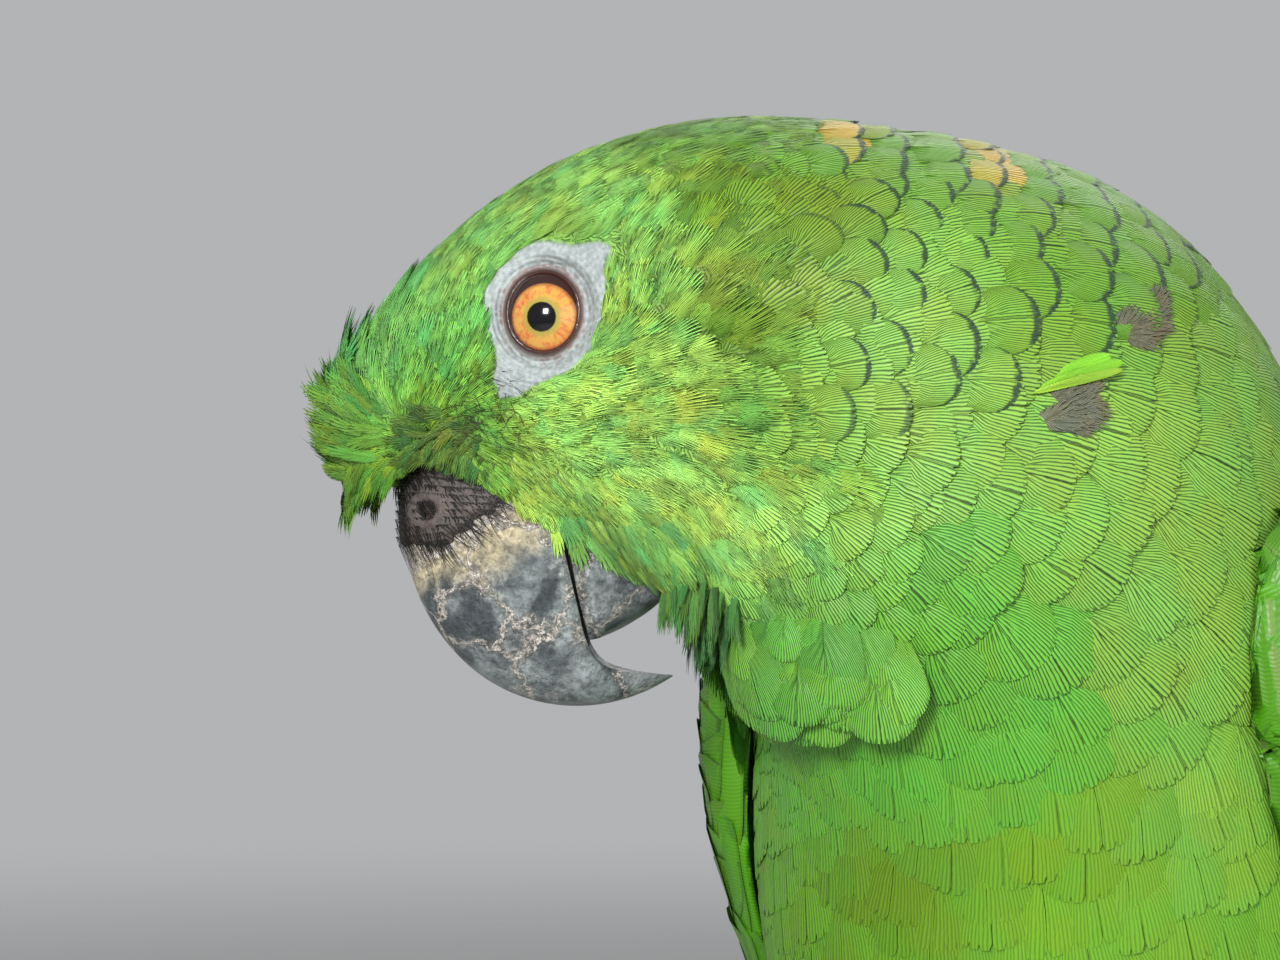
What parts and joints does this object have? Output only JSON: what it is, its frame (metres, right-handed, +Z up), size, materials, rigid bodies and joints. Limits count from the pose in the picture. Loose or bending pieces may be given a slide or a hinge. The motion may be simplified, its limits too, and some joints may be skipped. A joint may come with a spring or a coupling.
{
  "type": "amazon parrot display model",
  "caption": "Still, life-size green parrot with a hooked bill, standing with its head turned and bowed and its nape feathers raised.",
  "frame": {"origin": "centre of the bounding box, on the ground under the bird", "axes": "+Z up, the body faces -Y, so +Y runs to the tail, and the bird's left side is +X"},
  "size_m": [0.114, 0.259, 0.223],
  "materials": {
    "face_feathers": "short soft green feathers",
    "nape_feathers": "raised green feathers with dark edges",
    "body_feathers": "lying green contour feathers",
    "flight_feathers": "stiff dark green flight feathers",
    "eye": "orange iris round a black pupil, wet gloss",
    "cere": "black bristly skin",
    "horn": "grey flaking horn with tan patches",
    "scaly_skin": "grey scaled skin",
    "claw": "dark grey horn"
  },
  "bodies": {
    "root": {"head": "face_feathers", "neck": "nape_feathers", "trunk": "body_feathers", "tail_coverts": "body_feathers", "thigh_left": "body_feathers", "thigh_right": "body_feathers", "wing_left_coverts": "body_feathers", "wing_right_coverts": "body_feathers", "wing_left_secondaries": "flight_feathers", "wing_left_primaries": "flight_feathers", "wing_right_secondaries": "flight_feathers", "wing_right_primaries": "flight_feathers", "tail": "flight_feathers", "eye_left": "eye", "eye_right": "eye", "cere": "cere", "bill_upper": "horn", "bill_lower": "horn", "shank_left": "scaly_skin", "toe_left_1": "scaly_skin", "toe_left_2": "scaly_skin", "toe_left_3": "scaly_skin", "toe_left_4": "scaly_skin", "claw_left_1": "claw", "claw_left_2": "claw", "claw_left_3": "claw", "claw_left_4": "claw", "shank_right": "scaly_skin", "toe_right_1": "scaly_skin", "toe_right_2": "scaly_skin", "toe_right_3": "scaly_skin", "toe_right_4": "scaly_skin", "claw_right_1": "claw", "claw_right_2": "claw", "claw_right_3": "claw", "claw_right_4": "claw"}
  },
  "joints": []
}
